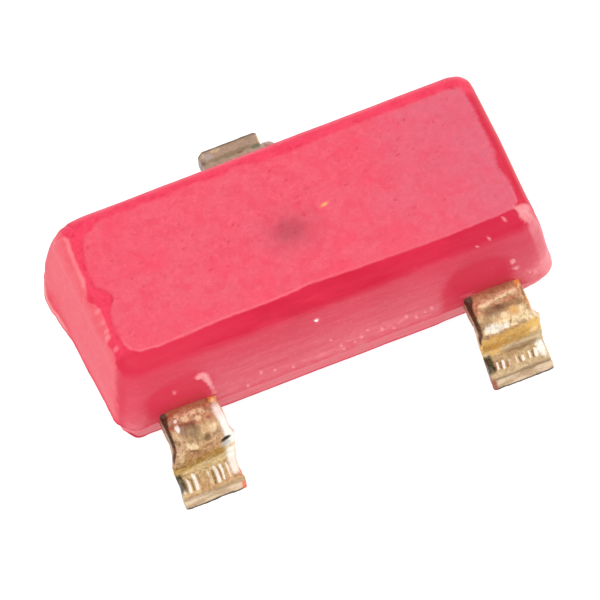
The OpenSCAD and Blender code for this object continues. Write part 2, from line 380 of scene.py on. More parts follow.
def build_body():
    rng = np.random.RandomState(7)
    n1, n2, n3 = Noise(11), Noise(12), Noise(13)
    mid_x = np.concatenate([np.linspace(-(HX - RC), -1.14, 24), np.linspace(-1.14, HX - RC, 162)[1:]])
    mid_y = np.linspace(-(HY - RC), HY - RC, 76)
    shell = Shell(grid_lines(HX, RC, mid_x, 11), grid_lines(HY, RC, mid_y, 11))

    def section(inset, z, r, share):
        def points(X, Y):
            x, y = rounded(X, Y, HX, HY, RC, RC, HX - inset, HY - inset, r)
            return np.c_[x, y, np.full(x.shape, z), np.full(x.shape, float(share))]
        return points

    v, quads, n = shell.build([section(*row) for row in body_profile()])
    base, flash = v[:, :3], v[:, 3]
    x, y, z = base.T
    flat = np.hypot(n[:, 0], n[:, 1])
    hx, hy = n[:, 0] / np.maximum(flat, 1e-6), n[:, 1] / np.maximum(flat, 1e-6)
    top = smooth(z, ZT - 0.03, ZT - 0.006)
    front = smooth(-hy, 0.6, 0.9) * smooth(n[:, 2], 0.80, 0.55)
    wall = smooth(n[:, 2], 0.75, 0.45) * smooth(z, ZB, ZB + 0.03)

    # distance inside the frosted field of the top, and inside the frost of the left end
    field = np.minimum.reduce([y - through(x, FIELD_FRONT), through(x, FIELD_BACK) - y, x - through(y, FIELD_LEFT), through(y, FIELD_RIGHT) - x])
    field += (0.006 * n1(base, 9) + 0.004 * n2(base, 26)) * (0.45 + 0.55 * smooth(y, -0.42, -0.34))
    field = np.where(n[:, 2] > 0.35, field, -0.2)
    end = np.minimum(through(y, END_EDGE) - x, (y - through(z, END_SIDE)) * 0.15)
    end += 0.003 * n2(base, 14) + 0.0025 * n3(base, 33)
    end = np.where(hx < -0.2, end, -0.2)
    end = np.where((n[:, 2] < 0.2) & (hy > 0.0) & (hx < -0.2), np.maximum(end, (-hx - 0.6) * 0.1), end)

    d = 0.0020 * n1.fbm(base, 2.2, 3) * wall + 0.0010 * n2.fbm(base, 6, 3)
    d += 0.0020 * smooth(field, -0.012, 0.004)

    # broken groove along the left end of the top face
    groove = smooth(field, 0.004, -0.008) * smooth(end, 0.004, -0.008) * smooth(x, -1.12, -1.20) * smooth(np.abs(y), 0.50, 0.40) * smooth(z, 0.80, 0.86)
    d -= 0.007 * groove * (1 + 0.8 * n3(base, 17)) * (1 + 0.8 * smooth(np.abs(y + 0.01), 0.14, 0.05))
    ridge = smooth(np.abs(end - 0.012), 0.019, 0.002) * smooth(y, 0.07, 0.12) * smooth(z, 0.80, 0.86) * smooth(y, 0.50, 0.44)
    d += 0.004 * ridge
    crumb = np.zeros(len(x))
    for cx, cy, r in CRUMBS_LEFT:
        k = np.sqrt((x - cx) ** 2 + (y - cy) ** 2) / r + 0.25 * n3(base, 55)
        crumb = np.maximum(crumb, smooth(k, 1.1, 0.45) * smooth(z, 0.76, 0.80) * (hx < -0.2))
    d += 0.009 * crumb

    # flash left by the mould at the parting line: thin and patchy, with a thick tongue at the left end
    patch = np.clip(0.35 + 1.1 * n2(base, 8, 2.0) + 0.9 * n3(base, 27), 0, 1.5)
    d += flash * (0.001 + 0.0035 * patch) * (1 - 0.6 * front)
    tongue = smooth(-hx, 0.2, 0.7) * smooth(y, 0.08, 0.24) * smooth(y, 0.58, 0.47) * (1 + 0.12 * n3(base, 19))
    thick = smooth(np.abs(z - ZP), 0.050, 0.012)
    d += 0.019 * tongue * np.maximum(flash, 0.8 * thick)
    d += 0.011 * smooth(-hx, 0.2, 0.6) * smooth(hy, 0.1, 0.5) * smooth(z, 0.36, 0.50) * smooth(z, 0.78, 0.60)
    d -= smooth(-hx, 0.4, 0.8) * (0.005 * smooth(y, 0.27, 0.19) + 0.008 * smooth(y, -0.05, -0.45)) * smooth(z, 0.50, 0.34)
    d += 0.016 * smooth(-hx, 0.5, 0.85) * smooth(np.abs(y - 0.385), 0.115, 0.030) * smooth(np.abs(z - ZP), 0.090, 0.015)
    d -= 0.006 * smooth(-hx, 0.3, 0.7) * smooth(np.abs(y - 0.545), 0.075, 0.020) * smooth(np.abs(z - ZP), 0.090, 0.015)
    d -= 0.012 * smooth(-hx, -0.02, 0.34) * smooth(hy, 0.10, 0.40) * smooth(z, 0.68, 0.82)
    d -= 0.012 * smooth(x, -1.14, -1.32) * smooth(-hx, 0.50, 0.0) * smooth(y, 0.36, 0.54) * smooth(z, 0.66, 0.82)
    corner = smooth(-hx, 0.25, 0.6) * smooth(-hy, 0.15, 0.5)
    d -= 0.004 * corner * smooth(z, 0.40, 0.30) * smooth(-hx, 0.70, 0.85)
    d -= 0.006 * corner * smooth(z, ZP + 0.03, ZP - 0.01) * smooth(-hy, 0.55, 0.75) * smooth(z, ZB, ZB + 0.06)
    right_corner = smooth(hx, 0.02, 0.35) * smooth(-hy, 0.10, 0.50)
    right_lip = smooth(x, 1.13, 1.29) * smooth(-hy, 0.22, 0.62)
    d += right_lip * (0.011 * smooth(z, ZP - 0.15, ZP - 0.04) * smooth(z, ZP + 0.080, ZP + 0.010) - 0.016 * smooth(z, 0.20, 0.12))
    d -= 0.012 * right_corner * smooth(z, 0.66, 0.82)
    d -= 0.010 * smooth(hx, 0.30, 0.75) * smooth(y, 0.12, -0.38) * smooth(-hy, 0.75, 0.35) * smooth(z, 0.62, 0.78)
    d += 0.007 * smooth(hx, 0.30, 0.70) * smooth(hy, 0.10, 0.50) * smooth(z, 0.55, 0.75)

    # shallow pocket in the front face over each front lead
    pocket = np.zeros(len(x))
    for cx, wide, high, tip in ((-1.05, 0.245, 0.378, -0.10), (0.92, 0.250, 0.388, -0.14)):
        k = inside_round_rect(x - cx, z - ZP + tip * (x - cx), wide, high, 0.19) + 0.020 * n2(base, 9) + 0.010 * n3(base, 21)
        pocket = np.maximum(pocket, smooth(k, -0.020, 0.065) * front)
    d -= 0.0045 * pocket

    # the face dips where each front lead comes out
    notch = np.zeros(len(x))
    for cx in (-1.03, 1.02):
        k = np.hypot((x - cx) / 0.225, (z - ZP - 0.03) / 0.115) + 0.10 * n3(base, 12)
        notch = np.maximum(notch, smooth(k, 1.15, 0.40) * front)
    d -= 0.005 * notch

    # beads, burrs and grains of flash on the front face
    bead = np.zeros(len(x))
    for sx, sz, r in SPECKS_FRONT:
        at = base[np.argmin((x - sx) ** 2 + (z - sz) ** 2 + 9.0 * (hy > -0.6))]
        bead = np.maximum(bead, smooth(np.linalg.norm((base - at) * [1.0, 0.62, 0.62], axis=1) + 0.006 * n3(base, 55), 1.15 * r, 0.1 * r) * smooth(-hy, 0.6, 0.9))
    burr = np.zeros(len(x))
    for pts, wide, narrow in (([(-0.905, 0.602), (-0.880, 0.612), (-0.862, 0.572), (-0.846, 0.51), (-0.830, 0.44), (-0.822, 0.40)], 0.027, 0.014),
                              ([(1.172, 0.570), (1.164, 0.540)], 0.015, 0.015), ([(1.184, 0.490), (1.188, 0.475)], 0.020, 0.018)):
        k, along = to_segments(x, z, pts)
        k = k / (wide + (narrow - wide) * smooth(along, 0.35, 0.75)) + 0.35 * n3(base, 30)
        burr = np.maximum(burr, smooth(k, 1.1, 0.5) * (1 - 0.45 * smooth(along, 0.55, 0.9)) * smooth(-hy, 0.6, 0.9))
    seam = smooth(np.abs(z - 0.380 - 0.03 * n1(base, 3)), 0.050, 0.012) * smooth(n3(base * [0.55, 1, 1.6], 19) + 0.6 * n2(base, 5), 0.25, 0.60)
    seam *= front * smooth(x, 1.35, 0.9) * smooth(x, -0.75, -0.45)
    d += 0.008 * bead + 0.010 * burr + 0.0035 * seam

    # small pits in the top face
    pit = np.zeros(len(x))
    spots = list(PITS_TOP)
    while len(spots) < 170:
        px, py = rng.uniform(-1.26, 1.26), rng.uniform(-0.45, 0.45)
        if rng.rand() < 0.18 + 0.6 * math.exp(-((px + 0.45) / 0.45) ** 2 - ((py - 0.05) / 0.25) ** 2) + 0.5 * (py > 0.08 and px > -0.2):
            spots.append((px, py))
    for k, (px, py) in enumerate(spots):
        r = rng.uniform(0.014, 0.019) if k < len(PITS_TOP) else rng.uniform(0.008, 0.015)
        strength = 1.0 if k < len(PITS_TOP) else rng.uniform(0.25, 0.85)
        near = np.flatnonzero((np.abs(x - px) < 0.05) & (np.abs(y - py) < 0.05) & (top > 0))
        dist = np.hypot(x[near] - px, (y[near] - py) * rng.uniform(0.8, 1.6)) / r
        pit[near] = np.maximum(pit[near], smooth(dist, 1.0, 0.2) * strength)
    d -= 0.0022 * pit

    moved = base + n * d[:, None]
    attributes = dict(field=field, end=end, hx=hx * smooth(flat, 0.05, 0.2), hy=hy * smooth(flat, 0.05, 0.2), groove=groove, ridge=np.maximum(ridge, crumb),
                      pocket=pocket, notch=notch, bead=bead, seam=seam, burr=burr, pit=pit, flash=np.clip(flash * patch, 0, 1), tongue=tongue * thick)
    return moved, quads, attributes


def body_material():
    m = Nodes("tinted_epoxy")
    x, y, z = m.x, m.y, m.z
    hx, hy = m.attr("hx"), m.attr("hy")
    cloud = m.noise(2.6, 5, 0.6, 0.3)
    mottle = m.noise(11, 4, 0.6, 0.4, shift=(3, 1, 6))
    grain = m.noise(60, 3, 0.7)
    smear = m.noise(6, 5, 0.62, 0.5, vector=m.stretch(0.40, 1.0, 2.8))

    fibre = m.noise(13, 5, 0.65, 0.5, vector=m.stretch(0.34, 1.0, 2.4), shift=(2, 6, 4))
    speck = m.noise(38, 4, 0.7, shift=(1, 3, 5))
    deep = m.mix(m.ramp(cloud, 0.35, 0.65), srgb(208, 12, 56), srgb(216, 26, 66))
    deep = m.mix(m.ramp(fibre, 0.50, 0.70, 0.0, 0.40), deep, srgb(232, 46, 80))
    deep = m.mix(m.mul(m.ramp(m.add(x, m.mul(m.sub(smear, 0.5), 0.5)), -0.50, -1.05), 0.75), deep, srgb(223, 44, 76))
    deep = m.mix(m.mul(m.ramp(x, 0.50, 1.10), m.ramp(hy, -0.3, -0.7), 0.50), deep, srgb(206, 28, 68))
    # lighter and softer in the groove at the left end and along the back edge, darker in places beside the field
    rim = m.most(m.ramp(y, 0.36, 0.44), m.mul(m.ramp(x, -1.12, -1.20), m.ramp(y, -0.48, -0.42)))
    rim = m.mul(rim, m.ramp(z, 0.66, 0.78))
    soft = m.mix(m.ramp(mottle, 0.42, 0.66), srgb(240, 62, 94), srgb(234, 50, 84))
    soft = m.mix(m.ramp(speck, 0.45, 0.65, 0.0, 0.5), soft, srgb(242, 78, 106))
    raw = m.attr("field")
    beside = m.mul(m.ramp(raw, -0.034, -0.018), m.ramp(raw, 0.002, -0.006), m.ramp(m.noise(15, 4, 0.6, 0.4, shift=(9, 2, 2)), 0.42, 0.60))
    soft = m.mix(m.mul(beside, m.ramp(y, 0.40, 0.46, 0.30, 0.24)), soft, srgb(212, 24, 62))
    deep = m.mix(rim, deep, soft)
    # frosted field of the top: salmon at the left, mauve at the right
    near_edge = m.ramp(y, -0.30, -0.42)
    field = m.add(raw, m.mul(m.sub(m.noise(34, 4, 0.65), 0.5), m.ramp(y, -0.42, -0.30, 0.010, 0.034)))
    on_top = m.ramp(m.mul(field, m.ramp(y, -0.30, -0.42, 1.0, 2.6)), -0.018, 0.018)
    top = m.mix(m.ramp(cloud, 0.35, 0.65), srgb(236, 83, 105), srgb(233, 91, 112))
    right = m.ramp(m.add(x, m.mul(m.sub(cloud, 0.5), 0.55)), 0.25, 1.30)
    top = m.mix(m.mul(right, 0.9), top, srgb(217, 101, 122))
    veil = m.noise(21, 5, 0.7, 0.8, shift=(8, 8, 1))
    top = m.mix(m.ramp(veil, 0.50, 0.66, 0.0, 0.36), top, srgb(244, 110, 128))
    top = m.mix(m.ramp(veil, 0.50, 0.36, 0.0, 0.28), top, srgb(228, 70, 95))
    top = m.mix(m.ramp(grain, 0.40, 0.62, 0.0, 0.20), top, srgb(244, 110, 128))
    top = m.mix(m.mul(m.ramp(mottle, 0.46, 0.64, 0.0, 0.44), m.sub(1.0, m.mul(right, 0.6))), top, srgb(233, 66, 92))
    pool = m.noise(4.2, 3, 0.5, 0.6, shift=(5, 2, 9))
    top = m.mix(m.mul(m.ramp(pool, 0.48, 0.66, 0.0, 0.35), m.sub(1.0, m.mul(right, 0.75))), top, srgb(242, 68, 96))
    near_front = m.mul(m.ramp(y, -0.34, -0.46), m.ramp(smear, 0.35, 0.65))
    top = m.mix(m.mul(near_front, 0.25), top, srgb(238, 86, 106))
    # painted highlight: a thin light line along the front edge of the frosted field
    lip_highlight = m.mul(m.ramp(field, 0.000, 0.007), m.ramp(field, 0.026, 0.010), near_edge, m.ramp(mottle, 0.36, 0.58, 0.25, 1.0))
    top = m.mix(m.mul(lip_highlight, m.ramp(x, 0.3, -0.2, 0.15, 0.50)), top, srgb(248, 126, 140))

    # front and back faces: clear under the rounded edge, frostier downwards
    height = m.add(m.add(z, m.mul(m.sub(smear, 0.5), 0.11)), m.ramp(hy, 0.3, 0.6, 0.0, 0.12))
    facing = m.ramp(m.math("ABSOLUTE", hy), 0.55, 0.85)
    frost = m.add(m.ramp(height, 0.870, 0.760, 0.0, 0.30), m.add(m.ramp(height, 0.76, 0.50, 0.0, 0.28), m.ramp(height, 0.52, 0.31, 0.0, 0.30)))
    left_part = m.mul(m.ramp(m.add(x, m.mul(m.sub(smear, 0.5), 0.25)), -0.85, -1.18), m.ramp(z, 0.30, 0.45), m.ramp(hy, 0.3, -0.3))
    frost = m.mul(frost, m.sub(1.0, m.mul(left_part, 0.40)), m.ramp(x, 0.55, 1.10, 0.94, 0.68))
    frost = m.mul(frost, m.ramp(smear, 0.25, 0.75, 0.76, 1.20), m.ramp(fibre, 0.30, 0.70, 0.78, 1.22), m.sub(1.0, m.mul(m.attr("pocket"), 0.80)), facing)
    face = m.mix(m.ramp(z, 0.75, 0.35), srgb(216, 102, 119), srgb(228, 114, 127))
    face = m.mix(m.ramp(speck, 0.50, 0.68, 0.0, 0.40), face, srgb(244, 140, 150))
    # ends
    at_end = m.add(m.attr("end"), m.mul(m.sub(m.noise(40, 3, 0.6), 0.5), 0.008))
    end_frost = m.mul(m.ramp(at_end, -0.003, 0.006), m.ramp(m.add(y, m.mul(m.sub(mottle, 0.5), 0.10)), 0.58, 0.44, 0.45, 1.0))
    right_frost = m.mul(m.ramp(hx, 0.80, 0.95), m.ramp(height, 0.79, 0.72), m.ramp(y, -0.38, -0.10, 0.85, 0.30))
    end = m.mix(m.ramp(z, 0.88, 0.70), srgb(242, 107, 119), srgb(239, 91, 107))
    end = m.mix(m.ramp(z, 0.42, 0.30), end, srgb(236, 100, 114))
    end = m.mix(m.ramp(mottle, 0.42, 0.62, 0.0, 0.50), end, srgb(240, 82, 102))
    end = m.mix(m.ramp(speck, 0.52, 0.68, 0.0, 0.50), end, srgb(238, 124, 130))
    # painted shade: deeper red below the flash on the left end
    sill_shade = m.mul(m.ramp(hx, -0.3, -0.7), m.ramp(m.add(z, m.mul(m.sub(speck, 0.5), 0.05)), 0.365, 0.325))
    end = m.mix(m.mul(sill_shade, 0.65), end, srgb(234, 58, 88))
    colour = m.mix(frost, deep, face)
    blotch = m.noise(15, 4, 0.62, 0.8, vector=m.stretch(0.7, 1.0, 1.3), shift=(1, 7, 2))
    # painted shade: darker below the parting line, against the light the floor throws up, with blotches
    under_shade = m.mul(m.ramp(m.add(z, m.mul(m.sub(blotch, 0.5), 0.24)), ZP + 0.080, ZP - 0.020), m.ramp(fibre, 0.35, 0.60, 0.40, 0.80))
    below = m.mix(m.ramp(speck, 0.44, 0.62), srgb(224, 56, 84), srgb(204, 88, 96))
    below = m.mix(m.ramp(blotch, 0.50, 0.62, 0.0, 0.65), below, srgb(188, 98, 94))
    colour = m.mix(under_shade, colour, below)
    colour = m.mix(m.most(end_frost, right_frost), colour, end)
    colour = m.mix(on_top, colour, top)

    # dark pits, worm-like marks and fine lines in the frost
    flecks = m.mul(m.ramp(m.spots(24), 0.15, 0.05), m.ramp(m.noise(3.2, 3, 0.6, shift=(4, 2, 7)), 0.50, 0.60))
    worm_field = m.noise(13, 3, 0.6, 1.6, vector=m.stretch(1.0, 1.5, 1.0), shift=(0, 4, 0))
    worms = m.mul(m.ramp(m.math("ABSOLUTE", m.sub(worm_field, 0.5)), 0.020, 0.004), m.ramp(m.noise(3.6, 2, 0.5, shift=(1, 9, 3)), 0.54, 0.64))
    worms = m.mul(worms, m.ramp(m.add(x, y), 0.3, 1.2, 0.35, 1.0))
    dark = m.most(m.attr("pit"), m.most(m.mul(flecks, 0.6), m.mul(worms, 0.55)))
    colour = m.mix(m.mul(dark, on_top, 0.85), colour, srgb(214, 52, 80))

    # shadow of the die, and the glint of its wire, seen through the epoxy
    wx = m.add(x, m.mul(m.sub(m.noise(9, 3, 0.6), 0.5), 0.12))
    wy = m.add(y, m.mul(m.sub(m.noise(9, 3, 0.6, shift=(5, 5, 5)), 0.5), 0.12))
    dx, dy = m.sub(wx, -0.050), m.sub(wy, -0.060)
    r = m.math("SQRT", m.add(m.mul(dx, dx), m.mul(dy, dy, 1.2)))
    on_flat = m.ramp(z, ZT - 0.02, ZT - 0.008)
    shade = m.add(m.ramp(r, 0.15, 0.02, 0.0, 0.34), m.ramp(r, 0.29, 0.08, 0.0, 0.20))
    colour = m.mix(m.mul(shade, on_flat), colour, srgb(158, 64, 74))
    gx, gy = m.sub(x, 0.212), m.sub(y, 0.024)
    along, across = m.add(m.mul(gx, 0.97), m.mul(gy, 0.24)), m.sub(m.mul(gy, 0.97), m.mul(gx, 0.24))
    g = m.math("SQRT", m.add(m.mul(along, along, 0.20), m.mul(across, across)))
    colour = m.mix(m.mul(m.ramp(g, 0.024, 0.010), on_flat, 0.35), colour, srgb(255, 140, 110))
    colour = m.mix(m.mul(m.ramp(g, 0.014, 0.004), on_flat, 0.80), colour, srgb(255, 182, 108))

    # whitened burrs, beads, crumbs and flash; painted shade round the lead exits; the front right corner frosted and
    # with a painted highlight; a painted highlight along the edge of the flash tongue
    # painted shade round each front lead where it leaves the body
    colour = m.mix(m.mul(m.attr("notch"), m.ramp(speck, 0.35, 0.60, 0.25, 0.55)), colour, srgb(222, 74, 78))
    colour = m.mix(m.mul(m.attr("seam"), m.ramp(speck, 0.35, 0.60, 0.20, 0.46)), colour, srgb(250, 150, 156))
    colour = m.mix(m.mul(m.attr("burr"), m.ramp(speck, 0.30, 0.50, 0.55, 0.85)), colour, srgb(252, 170, 174))
    colour = m.mix(m.mul(m.attr("bead"), m.ramp(grain, 0.3, 0.6, 0.55, 0.80)), colour, srgb(255, 170, 176))
    colour = m.mix(m.mul(m.attr("ridge"), 0.58), colour, srgb(255, 146, 152))
    bright = m.mul(m.ramp(m.math("SQRT", m.add(m.mul(m.add(x, 0.120), m.add(x, 0.120)), m.mul(m.sub(z, 0.717), m.sub(z, 0.717)))), 0.017, 0.008), m.ramp(hy, -0.6, -0.9))
    colour = m.mix(bright, colour, (1.0, 0.90, 0.86))
    # frost with a painted highlight in a strip down the front right corner
    turn = m.add(hx, m.mul(m.sub(m.noise(9, 3, 0.6, shift=(2, 2, 8)), 0.5), 0.16))
    corner = m.mul(m.ramp(turn, 0.30, 0.50), m.ramp(turn, 0.97, 0.86), m.ramp(hy, -0.15, -0.35))
    foot = m.add(m.ramp(z, 0.36, 0.48, 0.95, 0.25), m.mul(m.sub(smear, 0.5), 0.6))
    colour = m.mix(m.mul(corner, m.ramp(z, 0.84, 0.76), m.add(m.ramp(z, 0.60, 0.78, 0.0, 0.30), foot)), colour, srgb(240, 144, 150))
    # lower part of that strip, frost with a painted highlight
    low_corner_frost_and_sheen = m.mul(m.ramp(m.add(x, m.mul(m.sub(blotch, 0.5), 0.20)), 1.20, 1.36), m.ramp(turn, 0.92, 0.78), m.ramp(hy, -0.10, -0.35), m.ramp(m.add(z, m.mul(m.sub(speck, 0.5), 0.10)), 0.54, 0.38))
    colour = m.mix(m.mul(low_corner_frost_and_sheen, m.ramp(speck, 0.35, 0.60, 0.45, 0.80)), colour, srgb(242, 140, 148))
    # pale patch at the top of the front right corner: chipped frost with a painted highlight
    rag = m.mul(m.sub(m.noise(20, 4, 0.65, shift=(6, 1, 2)), 0.5), 0.060)
    lean_x = m.sub(m.add(x, rag), m.mul(m.sub(0.875, z), 0.55))
    worn = m.mul(m.ramp(lean_x, 1.252, 1.280), m.ramp(lean_x, 1.350, 1.318), m.ramp(y, -0.445, -0.470), m.ramp(m.add(z, rag), 0.760, 0.855))
    colour = m.mix(m.mul(worn, m.ramp(speck, 0.3, 0.6, 0.70, 0.95)), colour, srgb(246, 162, 166))
    colour = m.mix(m.mul(m.attr("flash"), 0.30), colour, srgb(250, 142, 150))
    # painted highlight along the edge of the flash tongue on the left end
    colour = m.mix(m.mul(m.attr("tongue"), m.ramp(z, ZP - 0.004, ZP + 0.010), m.ramp(z, ZP + 0.034, ZP + 0.018), 0.75), colour, srgb(255, 168, 170))

    # painted shade: a dark line along the turned-over top edges, at the parting line on the left end and along the
    # bottom of the front face
    line = m.mul(m.ramp(hy, 0.60, 0.90), m.ramp(z, 0.872, 0.840), m.ramp(z, 0.780, 0.820), 0.50)
    side_rim_shade = m.mul(m.ramp(hx, 0.60, 0.88), m.ramp(z, 0.872, 0.838), m.ramp(z, 0.690, 0.775), m.ramp(y, -0.46, -0.36))
    colour = m.mix(m.mul(side_rim_shade, m.ramp(speck, 0.35, 0.60, 0.72, 0.90)), colour, srgb(216, 4, 40))
    line = m.most(line, m.mul(m.ramp(hx, -0.4, -0.7), m.ramp(z, ZP + 0.009, ZP + 0.002), m.ramp(z, ZP - 0.022, ZP - 0.008), 0.8))
    line = m.most(line, m.mul(m.ramp(hy, -0.4, -0.7), m.ramp(z, 0.150, 0.126), 1.2))
    colour = m.mix(m.mul(line, m.ramp(speck, 0.35, 0.60, 0.60, 0.80)), colour, srgb(186, 30, 60))

    rough = m.add(m.mul(m.most(on_top, frost, end_frost), 0.20), m.add(m.mul(line, 0.25), 0.36))
    rough = m.add(rough, m.mul(m.sub(grain, 0.5), 0.14))
    relief = m.add(m.mul(m.noise(85, 4, 0.65), 0.5), m.mul(m.noise(30, 4, 0.6), 0.9))
    relief = m.sub(relief, m.mul(dark, 0.8))
    relief = m.add(relief, m.mul(m.noise(1.0, 4, 0.6, vector=m.stretch(2.5, 2.5, 55)), m.sub(1.0, on_top), 0.16))
    m.principled(
        Base_Color=colour, Roughness=rough, Normal=m.bump(relief, 0.4, 0.0000035), IOR=1.53, Specular_IOR_Level=0.20,
        Subsurface_Weight=0.25, Subsurface_Radius=(1.0, 0.20, 0.24), Subsurface_Scale=0.00018,
        Coat_Weight=0.03, Coat_Roughness=0.25,
    )
    return m.mat


# ---------------------------------------------------------------- gull-wing leads
class Path:
    """Centre line of a lead: distance out, height and slope angle at each station."""

    def __init__(self, inner, fine=0.0070):
        self.turn = turn = math.pi / 2 - LEAN
        start = REACH - FOOT
        rh, rs = HEEL + LT / 2, SHOULDER - LT / 2
        heel = (start, LT + HEEL)
        heel_in = (heel[0] - rh * math.sin(turn), heel[1] - rh * math.cos(turn))
        sh_z = ZP + LT / 2 - SHOULDER
        out_z = sh_z + rs * math.cos(turn)
        leg = (out_z - heel_in[1]) / math.cos(LEAN)
        out_u = heel_in[0] - leg * math.sin(LEAN)
        sh_u = out_u - rs * math.sin(turn)
        rows = [(u, ZP, 0.0) for u in inner]
        for t in self.steps((sh_u - inner[-1]) / fine):
            rows.append((inner[-1] + t * (sh_u - inner[-1]), ZP, 0.0))
        for t in self.steps(rs * turn / fine * 1.5):
            rows.append((sh_u + rs * math.sin(t * turn), sh_z + rs * math.cos(t * turn), t * turn))
        for t in self.steps(leg / fine):
            rows.append((out_u + t * (heel_in[0] - out_u), out_z + t * (heel_in[1] - out_z), turn))
        for t in self.steps(rh * turn / fine):
            a = turn * (1 - t)
            rows.append((start - rh * math.sin(a), heel[1] - rh * math.cos(a), a))
        for t in self.steps(FOOT / fine):
            rows.append((start + t * (REACH - 0.005 - start), LT / 2, 0.0))
        self.rows = rows
        self.rs, self.rh, self.leg = rs, rh, leg
        self.shoulder_u = sh_u

    @staticmethod
    def steps(n):
        n = max(3, int(n))
        return np.linspace(0, 1, n + 1)[1:]

    def marks(self, face):
        """Lengths along the lead, from where it leaves the body, at which each bend starts or ends."""
        shoulder = self.shoulder_u - face
        leg = shoulder + self.rs * self.turn
        heel = leg + self.leg
        foot = heel + self.rh * self.turn
        return shoulder, leg, heel, foot, foot + FOOT


def build_lead(seed, cx, sign, inner, style):
    """inner: (distance out, left edge, right edge) of each station inside the body; sign is -1 for a front lead."""
    na, nb, nc = Noise(seed), Noise(seed + 1), Noise(seed + 2)
    path = Path([u for u, _, _ in inner])
    edges = [(a, b) for _, a, b in inner] + [(cx - LW / 2, cx + LW / 2)] * (len(path.rows) - len(inner))
    rows = [(u, z, a, 0.0, *e) for (u, z, a), e in zip(path.rows, edges)]
    for a in (0.6, math.pi / 2):                 # rounded off at the tip
        rows.append((REACH - 0.005 * (1 - math.sin(a)), LT / 2, 0.0, 0.005 * (1 - math.cos(a)), *edges[-1]))
    step = [0.0] + [math.hypot(b[0] - a[0], b[1] - a[1]) for a, b in zip(rows[:-1], rows[1:])]
    length = np.cumsum(step)
    face = HY
    at_face = float(np.interp(face, [r[0] for r in rows[:len(inner) + 12]], length[:len(inner) + 12]))
    shell = Shell(grid_lines(0.5, 0.07, np.linspace(-0.43, 0.43, 61), 5), grid_lines(0.5, 0.20, np.linspace(-0.30, 0.30, 8), 4))

    def section(k):
        u, z, a, shrink, left, right = rows[k]

        def points(X, T):
            w, t = (right - left) / 2 - shrink, LT / 2 - shrink
            r = max(0.016 - shrink, 0.008)
            px, pt = rounded(X, T, 0.5, 0.5, 0.07, 0.20, w, t, r)
            one = np.ones(len(px))
            return np.c_[(left + right) / 2 + px, sign * (u + math.sin(a) * pt), z + math.cos(a) * pt, (length[k] - at_face) * one, px, pt]
        return points

    v, quads, n = shell.build([section(k) for k in range(len(rows))])
    base, (s, w, t) = v[:, :3], v[:, 3:].T
    shoulder, leg, heel, foot, tip = path.marks(face)
    out = smooth(s, -0.03, 0.02)
    up = smooth(t, 0.02, 0.05)
    flat = s < 10
    p = np.c_[w, s, t]
    d = 0.0030 * na.fbm(p, 7, 3, 0.5) * out
    # lumps of plating, rounder on the plateau, finer over the foot
    plateau = smooth(s, leg + 0.02, shoulder)
    d += style["lump"] * up * out * (nb.fbm(p * [1.0, 1.2, 1.0], 12, 2, 0.5) * plateau + 0.5 * nb.fbm(p * [1.0, 0.8, 1.0], 22, 2, 0.5))
    # folds and hollows that run across: place, lean, half width, height, from, to
    fold = np.zeros(len(s))
    for at, lean, half, high, lo, hi in style["folds"]:
        k = np.abs(s - at - lean * w + 0.006 * nc(np.c_[w, 0 * w, 0 * w + at], 17))
        c = smooth(k, half, 0.1 * half) * up * smooth(w, lo - 0.03, lo + 0.01) * smooth(w, hi + 0.03, hi - 0.01)
        d += high * c * (0.8 + 0.7 * nc(p, 22))
        fold = np.maximum(fold, c * (1 if high > 0 else 0))
    # ribs pressed into the foot
    first, last = style["rib_span"]
    zone = smooth(s, first - 0.01, first + 0.02) * smooth(s, last + 0.012, last - 0.012) * up
    wave = np.cos(2 * math.pi * ((w + 0.013 * na(np.c_[w, s * 0.5, 0 * w], 11)) / style["rib_pitch"] + style["rib_phase"]))
    wave = wave * (0.75 + 0.9 * nc(np.c_[w, 0 * w, 0 * w], 14)) + 0.30 * na(np.c_[w, s * 0.25, 0 * w + 3], 40)
    zone = zone * (style["ribs"] > 0) * smooth(nb(np.c_[w, 0 * w, 0 * w + 8], 19) * 0.05 + s, first - 0.02, first + 0.03)
    # the rib crests get a painted highlight through this mask
    shine = zone * np.clip(wave, 0, 1) * through(w, style["rib_shine"])
    d += style["ribs"] * zone * wave
    d += 0.0025 * smooth(t, -0.03, -0.055) * out * na.fbm(p * [1, 0.4, 1], 22, 2)
    # right-hand edge worn down, left-hand edge rolled over, tip bevelled
    d -= style["worn"] * up * out * smooth(w, 0.110, 0.192) * smooth(s, tip - 0.02, tip - 0.06) * (1 + 0.5 * nb(p, 9))
    d -= style["roll"] * up * out * smooth(w, -0.135, -0.190) * smooth(s, leg + 0.08, leg)
    d -= style["bevel"] * up * smooth(s, tip - 0.065, tip)
    # burr on the bend of the back lead
    d += style["burr"] * smooth(np.abs(s - (leg - 0.025)), 0.085, 0.030) * smooth(t, -0.02, 0.03) * smooth(w, 0.120, 0.160)
    for _, pw, ps, rw, rs, lean, _ in [q for q in style["marks"] if q[0] == "black"]:
        k = np.hypot((w - pw) / rw, (s - ps - lean * (w - pw)) / rs)
        d -= 0.010 * smooth(k, 1.1, 0.4) * up
    moved = base + n * d[:, None]
    # uneven outline, and the sideways set of the part next to the body
    edge = 0.004 * nb(np.c_[0 * w, s, np.sign(w)], 8) + 0.0025 * na(np.c_[0 * w, s, np.sign(w)], 23)
    moved[:, 0] += np.sign(w) * smooth(np.abs(w), 0.10, 0.19) * edge * out
    near = smooth(s, heel + 0.08, leg - 0.10) * smooth(s, -0.16, -0.06)
    moved[:, 0] += near * (style["shift"] + w * style["narrow"])
